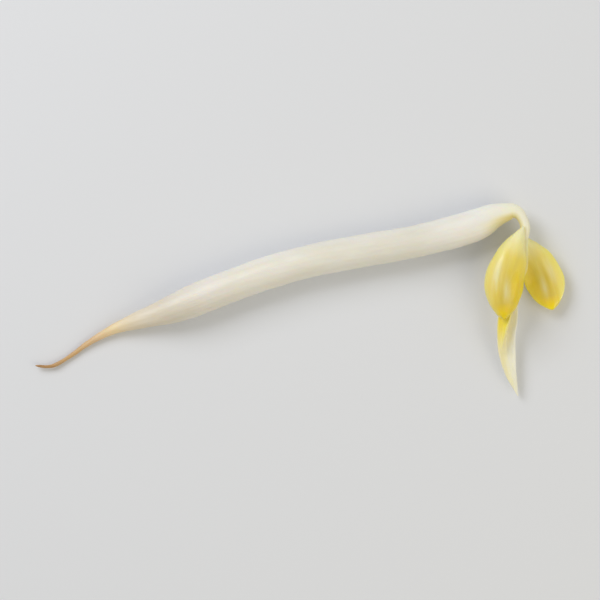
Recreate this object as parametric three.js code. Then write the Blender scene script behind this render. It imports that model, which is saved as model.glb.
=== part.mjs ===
// A mung bean sprout, as picked and laid down: a thick white stem whose thin neck hooks over at one
// end, a tan tail of root at the other, and a head of two seed halves with the first pair of leaves
// coming out between them. Millimetres, +Z up. The sprout lies on the plane z = 0, with the origin
// below the middle of its box.
import * as THREE from 'three';

// Driving dimensions.
const STEM_THICKNESS = 3.8;
const COLLAR_THICKNESS = 2.0;      // where the stem turns into root
const NECK_THICKNESS = 1.0;
const KNUCKLE_THICKNESS = 1.15;    // the end of the neck, which the seed halves grow from
const ROOT_TIP_THICKNESS = 0.6;
const SWOLLEN_FROM = 8;            // along the stem, from the collar
const NECK_STARTS = 40;
const NECK_IS_THIN = 48;
const SEED_HALF_WIDTH = 4.6;
const SEED_HALF_DEPTH = 1.75;      // from its flat face to the top of its round one
const SEED_HALF_HOLLOW = 0.3;
const SEED_HALF_WIDEST = 0.62;     // as a part of its length
const SHOOT_THICKNESS = 0.7;
const SHORT_LEAF_WIDTH = 1.4;
const LONG_LEAF_WIDTH = 2.1;
const LEAF_THICKNESS = 0.62;
const LEAF_FOLD = 0.5;             // how steeply each side of a leaf rises from the midrib, in radians
const SHORT_LEAF_ROLL = 0.15;

// The middle lines of the organs, each in the direction of growth away from the collar.
const STEM_LINE = [
  [-18.66, -2.3, 1.02], [-14.38, -0.89, 1.62], [-8.38, 1.53, 1.8], [-0.54, 4.1, 1.8],
  [7.33, 5.72, 1.8], [14.11, 6.95, 1.8], [18.8, 8.2, 1.8], [20.8, 8.87, 1.83], [22.4, 9.7, 1.95],
  [23.8, 10.15, 2.15], [24.85, 10.3, 2.3], [25.65, 9.7, 2.4], [26.13, 8.4, 2.5], [26.09, 7.1, 2.6],
];
const ROOT_LINE = [
  [-18.83, -2.35, 0.99], [-21.7, -3.4, 0.6], [-24.4, -4.85, 0.4], [-26.8, -6.55, 0.36],
  [-28.9, -7.7, 0.45], [-30.87, -7.65, 0.6],
];
// A seed half's line runs along its flat face.
const UPPER_HALF_LINE = [
  [25.43, 7.9, 3.3], [24.38, 5.1, 3.42], [23.61, 1.9, 3.52], [23.63, -2.25, 3.58],
];
const LOWER_HALF_LINE = [
  [26.18, 6.9, 2.1], [27.43, 4.6, 1.8], [28.54, 2, 1.62], [29.34, -1.1, 1.65],
];
const SHOOT_LINE = [
  [26.09, 6.95, 2.6], [26.11, 5.3, 2.65], [26.04, 3.7, 2.65], [25.54, 2.4, 2.6], [24.88, 1.45, 2.6],
];
const SHORT_LEAF_LINE = [
  [24.63, 1.3, 2.95], [23.89, -1.2, 2.85], [23.43, -3.6, 2.65], [23.2, -6, 2.3],
];
const LONG_LEAF_LINE = [
  [24.93, 1.3, 2.15], [24.35, -1.7, 1.8], [23.97, -4.9, 1.36], [24.42, -8.1, 1.03], [25.38, -11.2, 0.85],
];

const smooth = (from, to, x) => THREE.MathUtils.smoothstep(x, from, to);
const evenly = (rings) => Array.from({ length: rings + 1 }, (_, i) => i / rings);
const closerToEnds = (rings) => evenly(rings).map((part) => 0.5 - 0.5 * Math.cos(Math.PI * part));

// A closed body along a line. It starts as a lathe's drum of unit radius, whose rings are carried to
// their places on the line. outline(part, c, s) says where the point (c, s) of the ring at that part
// of the length lies: how far beside the line and how far above it. A ring that would reach below
// the surface is pressed flat on it.
function bodyAlong(points, parts, sides, outline) {
  const line = new THREE.CatmullRomCurve3(
    points.map((p) => new THREE.Vector3(...p)), false, 'catmullrom', 0.5);
  const drum = [[0, 0], ...parts.map((part) => [1, part]), [0, 1]];
  const body = new THREE.LatheGeometry(drum.map((p) => new THREE.Vector2(...p)), sides);
  const spots = body.getAttribute('position');
  for (let i = 0; i < spots.count; i++) {
    const part = spots.getY(i);
    const ahead = line.getTangentAt(part);
    const beside = new THREE.Vector3(ahead.y, -ahead.x, 0).normalize();
    const above = new THREE.Vector3().crossVectors(beside, ahead);
    const [x, z] = outline(part, spots.getX(i), spots.getZ(i), line.getLength());
    const spot = line.getPointAt(part).addScaledVector(beside, x).addScaledVector(above, z);
    spots.setXYZ(i, spot.x, spot.y, Math.max(spot.z, 0));
  }
  return body;
}

function turned([x, z], angle) {
  return [x * Math.cos(angle) - z * Math.sin(angle), x * Math.sin(angle) + z * Math.cos(angle)];
}

// The stem swells from the collar, keeps its thickness, and thins into the neck. The neck's end is
// a small knuckle.
function stemRadius(along, length) {
  const swelling = smooth(0, SWOLLEN_FROM, along + 1.2);
  const neck = smooth(NECK_STARTS, NECK_IS_THIN, along);
  const knuckle = smooth(length - 1.6, length, along);
  return 0.5 * (COLLAR_THICKNESS + (STEM_THICKNESS - COLLAR_THICKNESS) * swelling
    + (NECK_THICKNESS - STEM_THICKNESS) * neck
    + (KNUCKLE_THICKNESS - NECK_THICKNESS) * knuckle);
}

function stem() {
  return bodyAlong(STEM_LINE, evenly(90), 20, (part, c, s, length) => {
    const radius = stemRadius(part * length, length);
    return [radius * c, radius * s];
  });
}

function root() {
  return bodyAlong(ROOT_LINE, [...evenly(22).slice(0, -1), 0.99], 12, (part, c, s) => {
    const taper = Math.exp(-4.2 * part);
    const roundTip = Math.sqrt(1 - part ** 40);
    const radius = 0.5 * (ROOT_TIP_THICKNESS + (COLLAR_THICKNESS - ROOT_TIP_THICKNESS) * taper);
    return [roundTip * radius * c, roundTip * radius * s];
  });
}

// Half a bean, swollen and drawn out: widest a little past its middle, round outside, and slightly
// hollow on its flat face. roundSide is 1 where the round face is up and -1 where it is down.
function seedHalf(line, roundSide) {
  return bodyAlong(line, closerToEnds(22).slice(1, -1), 20, (part, c, s) => {
    const pastWidest = part > SEED_HALF_WIDEST;
    const fromWidest = (part - SEED_HALF_WIDEST) / (pastWidest ? 1 - SEED_HALF_WIDEST : SEED_HALF_WIDEST);
    const swell = 1 - fromWidest ** 2;
    const outward = s * roundSide;
    const beside = 0.5 * SEED_HALF_WIDTH * swell ** (pastWidest ? 0.75 : 1.05) * c;
    const height = outward > 0 ? SEED_HALF_DEPTH * outward : SEED_HALF_HOLLOW * outward ** 2;
    return [beside, roundSide * swell ** 0.6 * height];
  });
}

function shoot() {
  return bodyAlong(SHOOT_LINE, evenly(10), 10, (part, c, s) => {
    const radius = 0.5 * SHOOT_THICKNESS;
    return [radius * c, radius * s];
  });
}

// A young leaf, folded along its midrib into a gutter that opens upwards and rolled a little over.
function foldedLeaf(line, width, fold, roll) {
  return bodyAlong(line, closerToEnds(20).slice(1, -1), 14, (part, c, s) => {
    const fromWidest = (part - 0.45) / (part < 0.45 ? 0.45 : 0.55);
    const swell = (1 - fromWidest ** 2) ** (part < 0.45 ? 0.8 : 1);
    const beside = 0.5 * width * swell * c;
    const thick = 0.5 * LEAF_THICKNESS * Math.min(1, 2 * swell) * Math.sign(s) * Math.abs(s) ** 0.5;
    return turned([beside, Math.abs(beside) * Math.tan(fold) + thick], roll);
  });
}

function organ(name, geometry, color, roughness) {
  const material = new THREE.MeshStandardMaterial({ color, roughness, metalness: 0 });
  const mesh = new THREE.Mesh(geometry, material);
  mesh.name = name;
  return mesh;
}

const sprout = new THREE.Group();
sprout.add(organ('stem', stem(), 0xe6e3d6, 0.4));
sprout.add(organ('root', root(), 0xcdb089, 0.6));
sprout.add(organ('cotyledon_upper', seedHalf(UPPER_HALF_LINE, 1), 0xdccb78, 0.4));
sprout.add(organ('cotyledon_lower', seedHalf(LOWER_HALF_LINE, -1), 0xdcbe3c, 0.4));
sprout.add(organ('shoot', shoot(), 0xe8deb0, 0.45));
const shortLeaf = foldedLeaf(SHORT_LEAF_LINE, SHORT_LEAF_WIDTH, LEAF_FOLD, SHORT_LEAF_ROLL);
sprout.add(organ('leaf_short', shortLeaf, 0xe4c33a, 0.45));
sprout.add(organ('leaf_long', foldedLeaf(LONG_LEAF_LINE, LONG_LEAF_WIDTH, LEAF_FOLD, 0), 0xe6d98a, 0.45));

const box = new THREE.Box3().setFromObject(sprout);
sprout.position.set(-(box.min.x + box.max.x) / 2, -(box.min.y + box.max.y) / 2, -box.min.z);

export default sprout;
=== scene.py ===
import math

import bpy
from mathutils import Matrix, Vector


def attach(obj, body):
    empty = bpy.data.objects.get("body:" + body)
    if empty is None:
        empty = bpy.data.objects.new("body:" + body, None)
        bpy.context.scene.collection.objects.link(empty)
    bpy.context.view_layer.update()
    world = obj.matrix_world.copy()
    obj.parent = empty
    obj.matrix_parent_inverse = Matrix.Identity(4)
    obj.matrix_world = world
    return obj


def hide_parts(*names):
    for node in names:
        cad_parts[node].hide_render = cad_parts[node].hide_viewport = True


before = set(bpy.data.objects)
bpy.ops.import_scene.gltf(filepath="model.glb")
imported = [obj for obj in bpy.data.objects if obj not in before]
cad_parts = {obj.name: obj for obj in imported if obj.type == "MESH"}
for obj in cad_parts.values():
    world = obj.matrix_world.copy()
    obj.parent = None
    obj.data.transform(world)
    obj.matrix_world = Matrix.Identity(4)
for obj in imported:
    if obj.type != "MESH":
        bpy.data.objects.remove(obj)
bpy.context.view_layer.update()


# ---------------------------------------------------------------------------------------------
# The stem is the seedling's hypocotyl: a crisp, watery rod with a thin skin, nearly white because
# it grew in the dark, and beige towards the root. Its upper end thins to a neck that hooks over,
# yellow and darker inside its bend, partly from its own yellow and partly from painted shade, and
# ends in the knuckle that the seed halves and the shoot grow from.

# Blender works in metres, and every size in this file is in millimetres.
MM = 0.001
# Points that are nearer than this, in metres, count as being at the same place.
SAME_PLACE = 0.001 * MM

STEM_THICKNESS = 3.8
COLLAR_THICKNESS = 2.0
NECK_THICKNESS = 1.0
KNUCKLE_THICKNESS = 1.15
KNUCKLE_END_THICKNESS = 0.8
# The round end is left this blunt. That also widens the whole stem by 1.5 %, and smoothing takes
# about 1 % away again.
KNUCKLE_BLUNTNESS = 0.03

# How far up from the collar, where the root begins.
SWELLING_STARTS = -1.2
SWELLING_ENDS = 6.8
NECK_STARTS = 40
NECK_IS_THIN = 48

# How far down from the stem's upper end.
KNUCKLE_STARTS = 3.2
KNUCKLE_IS_WIDEST = 2.0
KNUCKLE_ROUNDS_OFF = 0.5

STEM_LINE = [
    (-18.66, -2.3, 1.02), (-14.38, -0.89, 1.62), (-8.38, 1.53, 1.8), (-0.54, 4.1, 1.8),
    (7.33, 5.72, 1.8), (14.11, 6.95, 1.8), (18.8, 8.2, 1.8), (20.8, 8.87, 1.83),
    (22.4, 9.7, 1.95), (23.8, 10.15, 2.15), (24.85, 10.3, 2.3), (25.65, 9.7, 2.4),
    (26.13, 8.4, 2.5), (25.92, 6.4, 2.6),
]

# The skin is even at the collar, where stem and root meet, and fully uneven this far from it.
UNEVEN_FROM_COLLAR = 3
# Each variant of the unevenness is taken this much further on in the noise.
VARIANT_STEP = (7.3, 3.1, 5.7)


def smooth(low, high, x):
    """0 up to low, 1 from high on, with an even rise between them."""
    t = min(max((x - low) / (high - low), 0), 1)
    return t * t * (3 - 2 * t)


def growth_line(places):
    """The smooth line through the places, as a curve. Its handles make it a Catmull-Rom line."""
    spots = [Vector(place) * MM for place in places]
    befores = [2 * spots[0] - spots[1]] + spots[:-1]
    afters = spots[1:] + [2 * spots[-1] - spots[-2]]
    curve = bpy.data.curves.new("growth_line", "CURVE")
    curve.dimensions = "3D"
    curve.twist_mode = "Z_UP"
    curve.resolution_u = 48
    spline = curve.splines.new("BEZIER")
    spline.bezier_points.add(len(spots) - 1)
    for point, before, spot, after in zip(spline.bezier_points, befores, spots, afters):
        reach = (after - before) / 6
        point.co = spot
        point.handle_left_type = point.handle_right_type = "FREE"
        point.handle_left = spot - reach
        point.handle_right = spot + reach
    line = bpy.data.objects.new("growth_line", curve)
    bpy.context.scene.collection.objects.link(line)
    return line


def line_length(line):
    return line.data.splines[0].calc_length() / MM


def only(piece):
    """Makes the piece the one thing that operators act on."""
    bpy.ops.object.select_all(action="DESELECT")
    piece.select_set(True)
    bpy.context.view_layer.objects.active = piece


def choose(piece, wanted):
    """Leaves the active piece in edit mode, with just the vertices selected whose place is
    wanted. Says if there are any."""
    bpy.ops.object.mode_set(mode="OBJECT")
    mesh = piece.data
    for kind in (mesh.polygons, mesh.edges, mesh.vertices):
        kind.foreach_set("select", [False] * len(kind))
    chosen = [wanted(v.co) for v in mesh.vertices]
    mesh.vertices.foreach_set("select", chosen)
    bpy.ops.object.mode_set(mode="EDIT")
    bpy.ops.mesh.select_mode(type="VERT")
    return any(chosen)


def finish_with(piece, kind, **settings):
    """Adds a modifier to the piece and applies it."""
    bpy.ops.object.mode_set(mode="OBJECT")
    only(piece)
    modifier = piece.modifiers.new(kind.lower(), kind)
    for name, value in settings.items():
        setattr(modifier, name, value)
    bpy.ops.object.modifier_apply(modifier=modifier.name)


def soften(piece, levels=1):
    """Divides the faces and smooths them."""
    finish_with(piece, "SUBSURF", levels=levels, render_levels=levels)


def grow_rod(name, length, thickness_at, rings, sides):
    """A closed rod along +X, drawn out of a disc ring by ring."""
    bpy.ops.object.select_all(action="DESELECT")
    bpy.ops.mesh.primitive_circle_add(
        vertices=sides, radius=0.5 * thickness_at(0) * MM, fill_type="NGON",
        rotation=(0, math.pi / 2, 0))
    rod = bpy.context.object
    rod.name = name
    bpy.ops.object.transform_apply(rotation=True)
    bpy.ops.object.mode_set(mode="EDIT")
    bpy.ops.mesh.select_all(action="SELECT")
    for ring in range(rings):
        here, there = length * ring / rings, length * (ring + 1) / rings
        bpy.ops.mesh.extrude_region_move(
            TRANSFORM_OT_translate={"value": ((there - here) * MM, 0, 0)})
        change = thickness_at(there) / thickness_at(here)
        bpy.ops.transform.resize(value=(1, change, change), center_override=(there * MM, 0, 0))
    bpy.ops.mesh.select_all(action="SELECT")
    bpy.ops.mesh.normals_make_consistent(inside=False)
    choose(rod, lambda co: co.x < SAME_PLACE)
    bpy.ops.transform.edge_crease(value=1)
    bpy.ops.object.mode_set(mode="OBJECT")
    return rod


def uneven(piece, size, depth, variant, drawn_out=1, group=""):
    """Lets the skin rise and dip, over the depth in all, in patches of that size. Drawn out,
    they are that many times as long."""
    patches = bpy.data.textures.new("patches", "CLOUDS")
    patches.noise_scale = size * MM
    patches.noise_depth = 1
    drift = bpy.data.objects.new("drift", None)
    bpy.context.scene.collection.objects.link(drift)
    drift.location = [variant * step * MM for step in VARIANT_STEP]
    drift.scale = (drawn_out, 1, 1)
    bpy.context.view_layer.update()
    finish_with(piece, "DISPLACE", texture=patches, texture_coords="OBJECT",
                texture_coords_object=drift, strength=depth * MM, mid_level=0.5,
                vertex_group=group)
    bpy.data.objects.remove(drift)


def away_from_collar(piece, collar):
    """A vertex group that fades out at the collar, which is that far along the straight piece."""
    group = piece.vertex_groups.new(name="away_from_collar")
    for v in piece.data.vertices:
        share = smooth(0, UNEVEN_FROM_COLLAR, abs(v.co.x / MM - collar))
        group.add([v.index], share, "REPLACE")
    return group.name


def remember_straight(piece, turned_round=0):
    """Keeps each point's place on the straight piece, for patterns that follow the bent one.
    A piece that grows the other way is turned round about that length."""
    places = []
    for v in piece.data.vertices:
        x, y, z = (part / MM for part in v.co)
        places += (turned_round - x, -y, z) if turned_round else (x, y, z)
    kept = piece.data.attributes.new("straight", "FLOAT_VECTOR", "POINT")
    kept.data.foreach_set("vector", places)


def bend(piece, line):
    """Bends the straight piece along the line, which isn't needed any more then."""
    finish_with(piece, "CURVE", object=line, deform_axis="POS_X")
    bpy.data.objects.remove(line)


def lay_down(piece):
    """Presses what would sink into the table flat on it, and shades the skin smooth."""
    if choose(piece, lambda co: co.z < 0):
        bpy.ops.transform.resize(value=(1, 1, 0), center_override=(0, 0, 0))
    bpy.ops.object.mode_set(mode="OBJECT")
    bpy.ops.object.shade_smooth()


def stem_thickness(along):
    knuckle_starts = stem_length - KNUCKLE_STARTS
    knuckle_is_widest = stem_length - KNUCKLE_IS_WIDEST
    thickness = COLLAR_THICKNESS
    for starts, ends, change in (
            (SWELLING_STARTS, SWELLING_ENDS, STEM_THICKNESS - COLLAR_THICKNESS),
            (NECK_STARTS, NECK_IS_THIN, NECK_THICKNESS - STEM_THICKNESS),
            (knuckle_starts, knuckle_is_widest, KNUCKLE_THICKNESS - NECK_THICKNESS),
            (knuckle_is_widest, stem_length, KNUCKLE_END_THICKNESS - KNUCKLE_THICKNESS)):
        thickness += change * smooth(starts, ends, along)
    into_round_end = max((along - stem_length) / KNUCKLE_ROUNDS_OFF + 1, 0)
    return thickness * math.sqrt(1 + KNUCKLE_BLUNTNESS - into_round_end ** 2)


stem_line = growth_line(STEM_LINE)
stem_length = line_length(stem_line)
stem = grow_rod("stem_flesh", stem_length, stem_thickness, rings=90, sides=24)
soften(stem)
stem_group = away_from_collar(stem, 0)
uneven(stem, size=5.0, depth=0.16, variant=1, group=stem_group)
uneven(stem, size=1.6, depth=0.05, variant=2, group=stem_group)
soften(stem)
remember_straight(stem)
bend(stem, stem_line)
lay_down(stem)


# The skin's colours, by the distance up from the collar. The root has those below 0.
SKIN_COLOURS = [
    (-14, (0.38, 0.22, 0.1)), (-9.5, (0.62, 0.42, 0.2)), (-5.7, (0.75, 0.56, 0.34)),
    (-3.1, (0.88, 0.73, 0.46)), (-1.2, (0.86, 0.77, 0.6)), (1.0, (0.83, 0.77, 0.66)),
    (3.9, (0.77, 0.73, 0.65)), (7.8, (0.83, 0.8, 0.74)), (14.8, (0.88, 0.865, 0.815)),
    (33.4, (0.84, 0.825, 0.765)), (41.7, (0.94, 0.93, 0.9)), (43.9, (0.96, 0.94, 0.84)),
    (45.5, (0.98, 0.95, 0.76)), (47.4, (0.98, 0.95, 0.77)), (50, (0.98, 0.93, 0.66)),
]
WORN_PATCH = (0.88, 0.76, 0.6)
WORN_STREAK = (0.9, 0.82, 0.7)
CLOUDED_SKIN = (0.95, 0.945, 0.9)
# Partly the neck's own yellow, partly painted shade inside the hook's bend.
YELLOW_AND_SHADE_INSIDE_BEND = (0.84, 0.72, 0.27)
SKIN_ROUGHNESS = (0.3, 0.48)
DRY_ROUGHNESS = 0.14
SKIN_GLOSS = 0.2

# From where to where the skin changes, by the distance up from the collar.
DRY_TO_FRESH = (-7.6, 5.2)
DULL_TO_GLOSSY = (0.6, 5)
STEM_TO_BEND = (41, 45)
STEM_TO_NECK = (42, 47)
# The same, by the distance from the collar either way, and by that across the stem.
COLLAR_TO_SOFT = (0.6, 3)
MIDDLE_TO_INSIDE = (-0.05, -0.6)

# Nearly all of a noise lies between these.
NOISE_SPAN = (0.3, 0.7)


def paint(name):
    """A new material, its nodes and its shader."""
    material = bpy.data.materials.new(name)
    material.use_nodes = True
    tree = material.node_tree
    return material, tree, tree.nodes["Principled BSDF"]


def feed(tree, value, socket):
    """Feeds the socket from another node's output, or sets it to a fixed number or colour."""
    if isinstance(value, bpy.types.NodeSocket):
        tree.links.new(value, socket)
    else:
        socket.default_value = (*value, 1) if isinstance(value, tuple) else value


def attribute(tree, name):
    node = tree.nodes.new("ShaderNodeAttribute")
    node.attribute_name = name
    return node


def worked_out(tree, operation, *values):
    node = tree.nodes.new("ShaderNodeMath")
    node.operation = operation
    for value, socket in zip(values, node.inputs):
        feed(tree, value, socket)
    return node.outputs["Value"]


def product(tree, first, *others):
    for other in others:
        first = worked_out(tree, "MULTIPLY", first, other)
    return first


def scaled(tree, value, span, onto):
    """The value, carried over from the span onto another pair of numbers and held within it."""
    node = tree.nodes.new("ShaderNodeMapRange")
    feed(tree, value, node.inputs["Value"])
    for name, number in zip(("From Min", "From Max", "To Min", "To Max"), (*span, *onto)):
        feed(tree, number, node.inputs[name])
    return node.outputs["Result"]


def ramp(tree, stops, value, interpolation="EASE"):
    """The colour at the value. The stops are (value, colour), from the lowest to the highest."""
    lowest, highest = stops[0][0], stops[-1][0]
    node = tree.nodes.new("ShaderNodeValToRGB")
    node.color_ramp.interpolation = interpolation
    elements = node.color_ramp.elements
    while len(elements) < len(stops):
        elements.new(0.5)
    for element, (place, colour) in zip(elements, stops):
        element.position = (place - lowest) / (highest - lowest)
        element.color = (*colour, 1)
    feed(tree, scaled(tree, value, (lowest, highest), (0, 1)), node.inputs["Fac"])
    return node.outputs["Color"]


def blended(tree, kind, amount, first, second):
    """Mixes two colours. A Mix node has several inputs of one name, so they go by number."""
    mix = tree.nodes.new("ShaderNodeMix")
    mix.data_type = "RGBA"
    mix.blend_type = kind
    for value, number in ((amount, 0), (first, 6), (second, 7)):
        feed(tree, value, mix.inputs[number])
    return mix.outputs[2]


def tissue_group():
    """Shared by every organ: streaks along its growth and broader patches, each from 0 to 1."""
    group = bpy.data.node_groups.new("tissue", "ShaderNodeTree")
    group.interface.new_socket("Straight", in_out="INPUT", socket_type="NodeSocketVector")
    start = group.nodes.new("NodeGroupInput")
    end = group.nodes.new("NodeGroupOutput")
    for result, per_mm, shortened, detail in (
            ("Streak", "Streaks per mm", 0.06, 3), ("Patch", "Patches per mm", 0.3, 4)):
        group.interface.new_socket(per_mm, in_out="INPUT", socket_type="NodeSocketFloat")
        group.interface.new_socket(result, in_out="OUTPUT", socket_type="NodeSocketFloat")
        drawn_out = group.nodes.new("ShaderNodeVectorMath")
        drawn_out.operation = "MULTIPLY"
        drawn_out.inputs[1].default_value = (shortened, 1, 1)
        noise = group.nodes.new("ShaderNodeTexNoise")
        noise.inputs["Detail"].default_value = detail
        feed(group, start.outputs["Straight"], drawn_out.inputs[0])
        feed(group, drawn_out.outputs["Vector"], noise.inputs["Vector"])
        feed(group, start.outputs[per_mm], noise.inputs["Scale"])
        feed(group, noise.outputs["Fac"], end.inputs[result])
    return group


tissue = tissue_group()


def tissue_in(tree, streaks, patches):
    """The tissue of one piece, with that many streaks and patches to the millimetre. Gives how
    far along and across the straight piece a point is, and the streak and patch there."""
    straight = attribute(tree, "straight").outputs["Vector"]
    parts = tree.nodes.new("ShaderNodeSeparateXYZ")
    feed(tree, straight, parts.inputs["Vector"])
    pattern = tree.nodes.new("ShaderNodeGroup")
    pattern.node_tree = tissue
    feed(tree, straight, pattern.inputs["Straight"])
    feed(tree, streaks, pattern.inputs["Streaks per mm"])
    feed(tree, patches, pattern.inputs["Patches per mm"])
    return (parts.outputs["X"], parts.outputs["Y"],
            pattern.outputs["Streak"], pattern.outputs["Patch"])


def bumped(tree, surface, height, strength, depth):
    bump = tree.nodes.new("ShaderNodeBump")
    feed(tree, strength, bump.inputs["Strength"])
    feed(tree, depth * MM, bump.inputs["Distance"])
    feed(tree, height, bump.inputs["Height"])
    feed(tree, bump.outputs["Normal"], surface.inputs["Normal"])


def soft_inside(tree, surface, weight, depth, colour_shares):
    """Light gets that deep into the tissue, each colour to its own share of the depth."""
    feed(tree, weight, surface.inputs["Subsurface Weight"])
    surface.inputs["Subsurface Scale"].default_value = depth * MM
    surface.inputs["Subsurface Radius"].default_value = colour_shares


def skin_colour(tree, along, across, streak, patch):
    """The colour of stem and root, which runs on from the one over the other."""
    colour = ramp(tree, SKIN_COLOURS, along, interpolation="LINEAR")
    wear = scaled(tree, along, DRY_TO_FRESH, (0.8, 0.07))
    for pattern, tint in ((patch, WORN_PATCH), (streak, WORN_STREAK)):
        amount = product(tree, scaled(tree, pattern, (0.38, 0.72), (0, 1)), wear)
        colour = blended(tree, "MULTIPLY", amount, colour, tint)
    clouded = scaled(tree, patch, (0.35, 0.65), (0, 0.8))
    colour = blended(tree, "MULTIPLY", clouded, colour, CLOUDED_SKIN)
    # Painted shade, with the neck's own yellow, on the inner side of the hook.
    yellow_and_shade_inside_bend = product(tree, scaled(tree, along, STEM_TO_BEND, (0, 0.9)),
                          scaled(tree, across, MIDDLE_TO_INSIDE, (0, 1)))
    return blended(tree, "MIX", yellow_and_shade_inside_bend, colour, YELLOW_AND_SHADE_INSIDE_BEND)


def skin_paint(name, softness, light_depth, light_shares):
    """The skin of stem or root. Neither lets light in at the collar, where one covers the other."""
    material, tree, surface = paint(name)
    along, across, streak, patch = tissue_in(tree, streaks=2.2, patches=0.5)
    colour = skin_colour(tree, along, across, streak, patch)
    feed(tree, colour, surface.inputs["Base Color"])
    roughness = worked_out(tree, "ADD", scaled(tree, streak, NOISE_SPAN, SKIN_ROUGHNESS),
                           scaled(tree, along, DRY_TO_FRESH, (DRY_ROUGHNESS, 0)))
    feed(tree, roughness, surface.inputs["Roughness"])
    gloss = scaled(tree, along, DULL_TO_GLOSSY, (0, SKIN_GLOSS))
    feed(tree, gloss, surface.inputs["Coat Weight"])
    surface.inputs["Coat Roughness"].default_value = 0.22
    from_collar = worked_out(tree, "ABSOLUTE", along)
    softness_here = product(tree, scaled(tree, from_collar, COLLAR_TO_SOFT, (0, softness)),
                            scaled(tree, along, STEM_TO_NECK, (1, 0.3)))
    soft_inside(tree, surface, softness_here, light_depth, light_shares)
    bumped(tree, surface, streak, strength=0.7, depth=0.15)
    return material


stem.data.materials.append(
    skin_paint("stem_flesh", softness=0.6, light_depth=1.5, light_shares=(1.0, 0.78, 0.45)))
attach(stem, "root")
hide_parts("stem")


# ---------------------------------------------------------------------------------------------
# The root is one thin tail that grows on from the collar, with no side roots. It is of the same
# tissue as the stem, but its skin has dried a little, so it is tan, duller and brown at the tip.

ROOT_TIP_THICKNESS = 0.34
ROOT_LINE = [
    (-17.56, -1.94, 1.17), (-18.66, -2.3, 1.02), (-21.7, -3.4, 0.6), (-24.4, -4.85, 0.4),
    (-26.8, -6.55, 0.36), (-28.9, -7.7, 0.45), (-30.87, -7.65, 0.6),
]

# The root's first stretch is a sleeve on the stem's end. It starts just under the stem's skin,
# comes out a little with each millimetre, and lies proud of the stem at the collar.
ROOT_OVERLAP = 1.17
ROOT_PROUD = 1.012
ROOT_COMES_OUT = 0.02

# It thins fast at first and then slowly, and only the very tip is round.
ROOT_THINNING = 4
ROOT_THINNING_POWER = 1.15
ROOT_TIP_POWER = 40
ROOT_TIP_CLOSES = 0.98


def root_thickness(along):
    past_collar = along - ROOT_OVERLAP
    if past_collar < 0:
        return stem_thickness(-past_collar) * (ROOT_PROUD + ROOT_COMES_OUT * past_collar)
    part = past_collar / (root_length - ROOT_OVERLAP)
    thinning = math.exp(-ROOT_THINNING * part ** ROOT_THINNING_POWER)
    round_tip = math.sqrt(1 - ROOT_TIP_CLOSES * part ** ROOT_TIP_POWER)
    at_collar = stem_thickness(0) * ROOT_PROUD
    return round_tip * (ROOT_TIP_THICKNESS + (at_collar - ROOT_TIP_THICKNESS) * thinning)


root_line = growth_line(ROOT_LINE)
root_length = line_length(root_line)
tail = grow_rod("root_tail", root_length, root_thickness, rings=60, sides=24)
soften(tail)
uneven(tail, size=1.2, depth=0.12, variant=3, group=away_from_collar(tail, ROOT_OVERLAP))
soften(tail)
remember_straight(tail, turned_round=ROOT_OVERLAP)
bend(tail, root_line)
lay_down(tail)
tail.data.materials.append(
    skin_paint("root_skin", softness=0.4, light_depth=0.8, light_shares=(1.0, 0.75, 0.45)))
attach(tail, "root")
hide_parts("root")


# ---------------------------------------------------------------------------------------------
# The head has two seed halves: the bean's own stores of starch, firm and smooth, which grow from
# the knuckle at the end of the neck. They are round outside and a little hollow on their flat
# faces, cream at the knuckle, pale yellow along one side and golden on the other and at the tip.
# The golden side is partly their own deeper yellow and partly painted shade, and two long pale
# marks on each are painted highlights.

SEED_HALF_WIDTH = 4.6
SEED_HALF_DEPTH = 1.75
SEED_HALF_HOLLOW = 0.3

# Parts of a half's length, from the knuckle: where it is widest, and how blunt its ends are.
SEED_HALF_WIDEST = 0.62
SEED_HALF_BLUNTNESS = 0.004
# The higher the power, the faster it thins: in width to the knuckle or the tip, and in depth.
TO_KNUCKLE_POWER = 1.05
TO_TIP_POWER = 0.75
DEPTH_POWER = 0.6

# The round side is up (1) or down (-1). The golden side, partly painted shade, is on the straight
# half's +Y (1) or on its -Y (-1).
UPPER_HALF = {
    "name": "seed_half_upper", "node": "cotyledon_upper",
    "round_side": 1, "golden_and_shaded_side": 1, "variant": 4,
    "line": [(25.85, 8.5, 3.05), (25.6, 7.9, 3.25), (24.47, 5.1, 3.42), (23.61, 1.9, 3.52),
             (23.63, -2.25, 3.58)],
}
LOWER_HALF = {
    "name": "seed_half_lower", "node": "cotyledon_lower",
    "round_side": -1, "golden_and_shaded_side": -1, "variant": 5,
    "line": [(25.95, 7.6, 2.25), (26.18, 6.9, 2.1), (27.43, 4.6, 1.8), (28.54, 2, 1.62),
             (29.34, -1.1, 1.65)],
}

# Colours across a half, from its pale side (0) to its golden side (1). The golden side is partly
# the half's own deeper yellow and partly painted shade: away from the lamp on the upper half, and
# next to the other half on the lower one.
SEED_COLOURS = [
    (0, (0.93, 0.79, 0.22)), (0.15, (0.93, 0.79, 0.23)), (0.3, (0.82, 0.665, 0.12)),
    (0.45, (0.73, 0.57, 0.08)), (0.62, (0.77, 0.6, 0.04)), (0.8, (0.86, 0.66, 0.02)),
    (1, (0.92, 0.71, 0.02)),
]
PALE_STREAK = (0.9, 0.81, 0.34)
DEEP_PATCH = (0.84, 0.66, 0.12)
YELLOW_SHOULDER = (0.98, 0.88, 0.28)
CREAM_AT_KNUCKLE = (0.95, 0.9, 0.6)
GOLDEN_TIP = (1.0, 0.73, 0.0)
PALE_RIM = (0.94, 0.8, 0.24)
SEED_ROUGHNESS = (0.26, 0.4)
# From where to where a half turns to these colours, by the part of its length.
TO_YELLOW_SHOULDER = (0.6, 0.2)
TO_CREAM_AT_KNUCKLE = (0.35, 0.08)
TO_GOLDEN_TIP = (0.83, 0.95)
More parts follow.
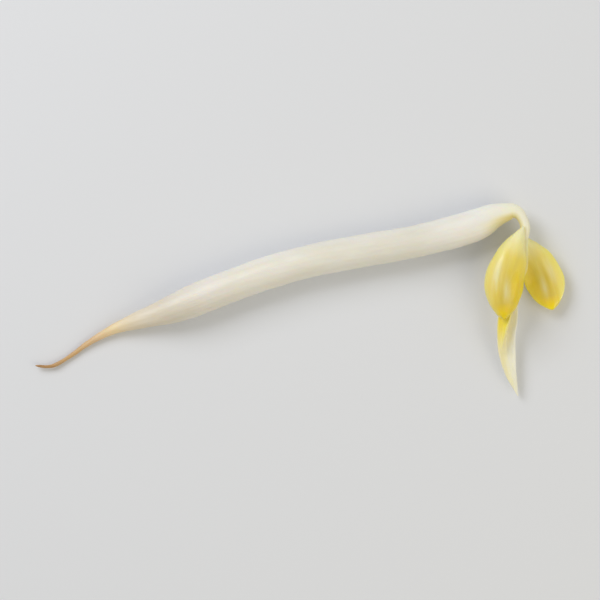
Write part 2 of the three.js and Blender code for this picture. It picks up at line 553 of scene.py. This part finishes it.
# Two long painted highlights: the parts of the half's width at which each starts, is strongest
# and ends, the same of its length, and its colour.
PAINTED_HIGHLIGHTS = [
    ((0.12, 0.28, 0.42), (0.25, 0.53, 0.78), (0.87, 0.83, 0.52)),
    ((0.43, 0.57, 0.7), (0.48, 0.71, 0.88), (0.8, 0.73, 0.38)),
]


def half_shape(along, length):
    """A seed half's width at that place, and its depth as a part of the full depth."""
    part = min(max(along / length, SEED_HALF_BLUNTNESS), 1 - SEED_HALF_BLUNTNESS)
    to_tip = part > SEED_HALF_WIDEST
    reach = 1 - SEED_HALF_WIDEST if to_tip else SEED_HALF_WIDEST
    swell = 1 - ((part - SEED_HALF_WIDEST) / reach) ** 2
    width = SEED_HALF_WIDTH * swell ** (TO_TIP_POWER if to_tip else TO_KNUCKLE_POWER)
    return width, swell ** DEPTH_POWER


def ring_places(piece):
    """Where the straight piece's rings of vertices are along X, in metres."""
    return sorted({round(v.co.x, 7) for v in piece.data.vertices})


def flatten_rings(half, length, round_side):
    """Each ring is a circle of the seed half's width. Its outer half becomes the round face,
    and its other half is turned inwards to make the hollow one."""
    for x in ring_places(half):
        width, depth = half_shape(x / MM, length)
        for side, full_depth in ((round_side, SEED_HALF_DEPTH), (-round_side, -SEED_HALF_HOLLOW)):
            if choose(half, lambda co: abs(co.x - x) < SAME_PLACE and co.z * side > SAME_PLACE):
                bpy.ops.transform.resize(value=(1, 1, 2 * full_depth * depth / width),
                                         center_override=(x, 0, 0))
    bpy.ops.object.mode_set(mode="OBJECT")


def mark_rim(half, length):
    """How near each point is to the rim, from 0 on the middle line to 1 on the rim."""
    near = []
    for v in half.data.vertices:
        width, _ = half_shape(v.co.x / MM, length)
        near.append(min(abs(v.co.y) / (0.5 * width * MM), 1))
    half.data.attributes.new("rim", "FLOAT", "POINT").data.foreach_set("value", near)


def seed_half(name, places, round_side, variant):
    line = growth_line(places)
    length = line_length(line)
    half = grow_rod(name, length, lambda along: half_shape(along, length)[0], rings=48, sides=28)
    flatten_rings(half, length, round_side)
    soften(half)
    uneven(half, size=2.2, depth=0.12, variant=variant)
    uneven(half, size=0.9, depth=0.3, variant=variant + 9, drawn_out=6)
    soften(half)
    mark_rim(half, length)
    remember_straight(half)
    bend(half, line)
    lay_down(half)
    return half, length


def hump(tree, value, starts, strongest, ends):
    """1 where the hump is strongest, falling to 0 where it starts and ends."""
    return ramp(tree, [(starts, (0, 0, 0)), (strongest, (1, 1, 1)), (ends, (0, 0, 0))], value)


def seed_paint(name, length, golden_and_shaded_side):
    material, tree, surface = paint(name)
    along, across, streak, patch = tissue_in(tree, streaks=1.3, patches=0.6)
    # Both places become parts of the half's length and width, from 0 to 1.
    golden_rim = golden_and_shaded_side * 0.5 * SEED_HALF_WIDTH
    along = scaled(tree, along, (0, length), (0, 1))
    across = scaled(tree, across, (-golden_rim, golden_rim), (0, 1))
    rim = attribute(tree, "rim").outputs["Fac"]

    pale_streaks = product(tree, scaled(tree, streak, (0.5, 0.64), (0, 0.4)),
                           scaled(tree, across, (0.4, 0.75), (1, 0.2)))
    deep_patches = scaled(tree, patch, (0.45, 0.7), (0, 0.5))
    shoulder = scaled(tree, along, TO_YELLOW_SHOULDER, (0, 0.75))
    knuckle_end = scaled(tree, along, TO_CREAM_AT_KNUCKLE, (0, 0.85))
    tip = product(tree, scaled(tree, along, TO_GOLDEN_TIP, (0, 1)),
                  scaled(tree, rim, (0.35, 0.9), (1, 0.25)))
    pale_rim = product(tree, scaled(tree, rim, (0.8, 1), (0, 0.6)),
                       scaled(tree, across, (0.5, 1), (1, 0.2)))
    # Two painted highlights, broken up by the streaks.
    highlight_marks = []
    for beside, below, tint in PAINTED_HIGHLIGHTS:
        highlight_mark = product(tree, hump(tree, across, *beside), hump(tree, along, *below),
                       scaled(tree, streak, (0.35, 0.6), (0.35, 0.95)))
        highlight_marks.append((highlight_mark, tint))

    # Towards the golden side, partly painted shade.
    colour = ramp(tree, SEED_COLOURS, across)
    for amount, tint in ((pale_streaks, PALE_STREAK), (deep_patches, DEEP_PATCH), *highlight_marks,
                         (shoulder, YELLOW_SHOULDER), (knuckle_end, CREAM_AT_KNUCKLE),
                         (tip, GOLDEN_TIP), (pale_rim, PALE_RIM)):
        colour = blended(tree, "MIX", amount, colour, tint)
    feed(tree, colour, surface.inputs["Base Color"])
    feed(tree, scaled(tree, patch, NOISE_SPAN, SEED_ROUGHNESS), surface.inputs["Roughness"])
    surface.inputs["Specular IOR Level"].default_value = 0.4
    surface.inputs["Coat Weight"].default_value = 0.15
    surface.inputs["Coat Roughness"].default_value = 0.15
    soft_inside(tree, surface, weight=0.5, depth=1.0, colour_shares=(1.0, 0.8, 0.25))
    bumped(tree, surface, streak, strength=0.7, depth=0.15)
    return material


for half in (UPPER_HALF, LOWER_HALF):
    piece, length = seed_half(half["name"], half["line"], half["round_side"], half["variant"])
    piece.data.materials.append(seed_paint(half["name"], length, half["golden_and_shaded_side"]))
    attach(piece, "root")
    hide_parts(half["node"])


# ---------------------------------------------------------------------------------------------
# The shoot is the short stalk that grows on from the knuckle, between the seed halves. It is
# watery like the neck, cream at first and yellower further on, and ends in a small bud between
# the stalks of the two leaves that it carries.

SHOOT_THICKNESS = 0.7
BUD_THICKNESS = 0.24
BUD_LENGTH = 1.1
SHOOT_LINE = [
    (26.11, 7.5, 2.6), (26.09, 6.95, 2.6), (26.11, 5.3, 2.65), (26.04, 3.7, 2.65),
    (25.54, 2.4, 2.6), (24.88, 1.45, 2.6),
]

# Colours along the shoot, by the part of its length from the knuckle.
SHOOT_COLOURS = [
    (0.15, (0.97, 0.92, 0.56)), (0.45, (0.88, 0.78, 0.34)), (1, (0.88, 0.72, 0.2)),
]
SHOOT_PATCH = (0.93, 0.88, 0.66)
SHOOT_ROUGHNESS = (0.32, 0.45)
# Patches show faintly from the first value of their noise, and fully from the second.
PATCHES_SHOW = (0.35, 0.7)


def shoot_thickness(along):
    bud = smooth(shoot_length - BUD_LENGTH, shoot_length, along)
    return SHOOT_THICKNESS + (BUD_THICKNESS - SHOOT_THICKNESS) * bud


def shoot_paint():
    material, tree, surface = paint("shoot_flesh")
    along, _, streak, patch = tissue_in(tree, streaks=3.0, patches=0.8)
    colour = ramp(tree, SHOOT_COLOURS, scaled(tree, along, (0, shoot_length), (0, 1)))
    patches = scaled(tree, patch, PATCHES_SHOW, (0, 0.5))
    colour = blended(tree, "MULTIPLY", patches, colour, SHOOT_PATCH)
    feed(tree, colour, surface.inputs["Base Color"])
    feed(tree, scaled(tree, streak, NOISE_SPAN, SHOOT_ROUGHNESS), surface.inputs["Roughness"])
    soft_inside(tree, surface, weight=0.5, depth=0.8, colour_shares=(1.0, 0.85, 0.4))
    bumped(tree, surface, streak, strength=0.3, depth=0.1)
    return material


shoot_line = growth_line(SHOOT_LINE)
shoot_length = line_length(shoot_line)
shoot = grow_rod("shoot_stalk", shoot_length, shoot_thickness, rings=32, sides=16)
soften(shoot)
uneven(shoot, size=1.2, depth=0.05, variant=6)
remember_straight(shoot)
bend(shoot, shoot_line)
lay_down(shoot)
shoot.data.materials.append(shoot_paint())
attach(shoot, "root")
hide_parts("shoot")


# ---------------------------------------------------------------------------------------------
# The first two leaves grow from the shoot's end on short stalks. They are thin, soft blades,
# still folded along their midribs, with slightly waved margins. The short one is bright yellow
# and fades towards its end, and the long one is cream. Painted shade makes one side of each
# warmer and darker, the long one's most, and darkens the long one's midrib a little, in the
# crease of its fold.

BLADE_THICKNESS = 0.24
# What may be left of that at the blade's tip, as a part of it.
BLADE_TIP_THINNESS = 0.15
PETIOLE_WIDTH = 0.5

# Parts of a leaf's length, from the shoot. The outline starts and ends a little way in, so that
# neither end has no width.
OUTLINE_STARTS = 0.01
PETIOLE_ENDS = 0.3
BLADE_WIDEST = 0.47
OUTLINE_ENDS = 0.995
# The blade narrows to its stalk by this power, and to its tip by 1.
TO_PETIOLE_POWER = 0.9
# The blade keeps its full thickness until its width is down to 1 / this of the full one.
BLADE_STOUTNESS = 2.5

# The fold and the roll about the midrib are in radians.
SHORT_LEAF = {
    "name": "leaf_blade_short", "node": "leaf_short",
    "width": 1.4, "fold": 0.45, "roll": 0.15, "variant": 7,
    "line": [(25.25, 2.05, 2.72), (24.63, 1.3, 2.95), (23.89, -1.2, 2.85),
             (23.43, -3.6, 2.65), (23.2, -6, 2.3)],
    "midrib_colour": (0.99, 0.85, 0.12), "blade_colour": (0.99, 0.85, 0.1),
    "margin_colour": (0.99, 0.89, 0.3), "end_colour": (0.95, 0.87, 0.58), "shaded_side": 0.3,
}
LONG_LEAF = {
    "name": "leaf_blade_long", "node": "leaf_long",
    "width": 2.1, "fold": 0.42, "roll": 0.0, "variant": 8,
    "line": [(25.35, 2.05, 2.42), (24.93, 1.3, 2.15), (24.35, -1.7, 1.8),
             (23.97, -4.9, 1.36), (24.42, -8.1, 1.03), (25.38, -11.2, 0.85)],
    # The midrib is a little darker than the blade: painted shade in the crease of the fold.
    "midrib_colour": (0.99, 0.95, 0.75), "blade_colour": (0.99, 0.97, 0.8),
    "margin_colour": (0.99, 0.97, 0.86), "end_colour": (0.97, 0.93, 0.68), "shaded_side": 0.55,
}
LEAF_PATCH = (0.95, 0.85, 0.55)
LEAF_SIDE_SHADE = (0.95, 0.84, 0.52)
LEAF_ROUGHNESS = (0.35, 0.5)
# From where to where painted shade makes the blade warmer and darker, by the distance across it
# from the midrib.
TO_SHADED_SIDE = (0.05, -0.4)
# From where to where it fades to its end's colour, by the part of its length.
FADE_STARTS = 0.62
FADE_ENDS = 0.97


def flat_blade(name, length, width):
    """A flat sheet along +X that keeps how near each of its points is to a side margin."""
    bpy.ops.object.select_all(action="DESELECT")
    bpy.ops.mesh.primitive_grid_add(x_subdivisions=48, y_subdivisions=12, size=1)
    blade = bpy.context.object
    blade.name = name
    bpy.ops.object.mode_set(mode="EDIT")
    bpy.ops.mesh.select_all(action="SELECT")
    bpy.ops.transform.resize(value=(length * MM, width * MM, 1), center_override=(0, 0, 0))
    bpy.ops.transform.translate(value=(0.5 * length * MM, 0, 0))
    bpy.ops.object.mode_set(mode="OBJECT")
    margin = blade.vertex_groups.new(name="margin")
    across = [abs(v.co.y) / (0.5 * width * MM) for v in blade.data.vertices]
    for index, share in enumerate(across):
        margin.add([index], share ** 2, "REPLACE")
    blade.data.attributes.new("rim", "FLOAT", "POINT").data.foreach_set("value", across)
    return blade


def blade_share(part, width):
    """How much of its full width the leaf has at that part of its length."""
    to_petiole = part < BLADE_WIDEST
    reach = BLADE_WIDEST if to_petiole else 1 - BLADE_WIDEST
    swell = 1 - ((part - BLADE_WIDEST) / reach) ** 2
    petiole = PETIOLE_WIDTH / width if part < PETIOLE_ENDS else 0
    return max(swell ** (TO_PETIOLE_POWER if to_petiole else 1), petiole)


def cut_outline(blade, length, width):
    """Narrows the sheet to a leaf. Its stout part is where it keeps its full thickness."""
    stout = blade.vertex_groups.new(name="stout")
    for x in ring_places(blade):
        part = min(max(x / MM / length, OUTLINE_STARTS), OUTLINE_ENDS)
        share = blade_share(part, width)
        choose(blade, lambda co: abs(co.x - x) < SAME_PLACE)
        bpy.ops.transform.resize(value=(1, share, 1), center_override=(x, 0, 0))
        bpy.ops.object.mode_set(mode="OBJECT")
        column = [v.index for v in blade.data.vertices if abs(v.co.x - x) < SAME_PLACE]
        stoutness = min(1, BLADE_STOUTNESS * share) if part > PETIOLE_ENDS else 1
        stout.add(column, stoutness, "REPLACE")


def folded_leaf(name, places, folded_width, fold, roll, variant):
    line = growth_line(places)
    length = line_length(line)
    width = folded_width / math.cos(fold)
    blade = flat_blade(name, length, width)
    cut_outline(blade, length, width)
    for side in (1, -1):
        choose(blade, lambda co: co.y * side > SAME_PLACE)
        bpy.ops.transform.rotate(value=-side * fold, orient_axis="X", center_override=(0, 0, 0))
    bpy.ops.object.mode_set(mode="OBJECT")
    uneven(blade, size=2.2, depth=0.5, variant=variant, group="margin")
    remember_straight(blade)
    finish_with(blade, "SOLIDIFY", thickness=BLADE_THICKNESS * MM, offset=0,
                vertex_group="stout", thickness_vertex_group=BLADE_TIP_THINNESS)
    soften(blade, levels=2)
    bpy.ops.object.mode_set(mode="EDIT")
    bpy.ops.mesh.select_all(action="SELECT")
    bpy.ops.transform.rotate(value=-roll, orient_axis="X", center_override=(0, 0, 0))
    bpy.ops.object.mode_set(mode="OBJECT")
    bend(blade, line)
    lay_down(blade)
    return blade, length


def leaf_paint(leaf, length):
    material, tree, surface = paint(leaf["name"])
    along, across, streak, patch = tissue_in(tree, streaks=2.5, patches=0.8)
    # Across the blade from midrib to margin. The long leaf's darker midrib is painted shade in its
    # fold's crease.
    colour = ramp(tree, [
        (0, leaf["midrib_colour"]), (0.12, leaf["midrib_colour"]), (0.3, leaf["blade_colour"]),
        (0.8, leaf["blade_colour"]), (1, leaf["margin_colour"]),
    ], attribute(tree, "rim").outputs["Fac"])
    patches = scaled(tree, patch, PATCHES_SHOW, (0, 0.6))
    colour = blended(tree, "MULTIPLY", patches, colour, LEAF_PATCH)
    # Painted shade on the side of the fold turned from the lamp.
    shaded_side = scaled(tree, across, TO_SHADED_SIDE, (0, leaf["shaded_side"]))
    colour = blended(tree, "MULTIPLY", shaded_side, colour, LEAF_SIDE_SHADE)
    faded_end = scaled(tree, along, (FADE_STARTS * length, FADE_ENDS * length), (0, 0.75))
    colour = blended(tree, "MIX", faded_end, colour, leaf["end_colour"])
    feed(tree, colour, surface.inputs["Base Color"])
    feed(tree, scaled(tree, patch, NOISE_SPAN, LEAF_ROUGHNESS), surface.inputs["Roughness"])
    soft_inside(tree, surface, weight=0.35, depth=1.0, colour_shares=(1.0, 0.9, 0.5))
    bumped(tree, surface, streak, strength=0.3, depth=0.1)
    return material


for leaf in (SHORT_LEAF, LONG_LEAF):
    blade, length = folded_leaf(
        leaf["name"], leaf["line"], leaf["width"], leaf["fold"], leaf["roll"], leaf["variant"])
    blade.data.materials.append(leaf_paint(leaf, length))
    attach(blade, "root")
    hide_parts(leaf["node"])


# ---------------------------------------------------------------------------------------------
# The sprout lies on a plain pale table top. A large cool lamp at the upper left and a warmer one
# opposite light it softly, and the camera looks straight down on it.

TABLE_WIDTH = 3000
TABLE_COLOUR = (0.78, 0.8, 0.85)
ROOM_COLOUR = (1.0, 0.985, 0.95)
ROOM_BRIGHTNESS = 0.425
CAMERA_HEIGHT = 420
CAMERA_SEES_FROM = 10
SENSOR_WIDTH = 36
FRAME_WIDTH = 70


def table_paint():
    material, tree, surface = paint("table_top")
    feed(tree, TABLE_COLOUR, surface.inputs["Base Color"])
    surface.inputs["Roughness"].default_value = 0.75
    return material


def lamp(name, place, size, power, colour):
    """A square lamp that points at the middle of the table."""
    light = bpy.data.lights.new(name, "AREA")
    light.shape = "SQUARE"
    light.size = size * MM
    light.energy = power
    light.color = colour
    fixture = bpy.data.objects.new(name, light)
    bpy.context.scene.collection.objects.link(fixture)
    fixture.location = Vector(place) * MM
    fixture.rotation_euler = (-Vector(place)).to_track_quat("-Z", "Y").to_euler()


bpy.ops.object.select_all(action="DESELECT")
bpy.ops.mesh.primitive_plane_add(size=TABLE_WIDTH * MM, location=(0, 0, 0))
table = bpy.context.object
table.name = "table_top"
table.data.materials.append(table_paint())

lamp("key", place=(-190, 190, 240), size=200, power=0.64, colour=(0.985, 0.99, 1.0))
lamp("fill", place=(230, -120, 220), size=260, power=0.34, colour=(1.0, 0.91, 0.66))

world = bpy.data.worlds.new("room")
world.use_nodes = True
room_light = world.node_tree.nodes["Background"]
feed(world.node_tree, ROOM_COLOUR, room_light.inputs["Color"])
feed(world.node_tree, ROOM_BRIGHTNESS, room_light.inputs["Strength"])
bpy.context.scene.world = world
bpy.context.scene.view_settings.view_transform = "Standard"

camera_data = bpy.data.cameras.new("camera")
camera_data.sensor_width = SENSOR_WIDTH
camera_data.lens = SENSOR_WIDTH * CAMERA_HEIGHT / FRAME_WIDTH
camera_data.clip_start = CAMERA_SEES_FROM * MM
camera = bpy.data.objects.new("camera", camera_data)
bpy.context.scene.collection.objects.link(camera)
camera.location = (0, 0, CAMERA_HEIGHT * MM)
bpy.context.scene.camera = camera
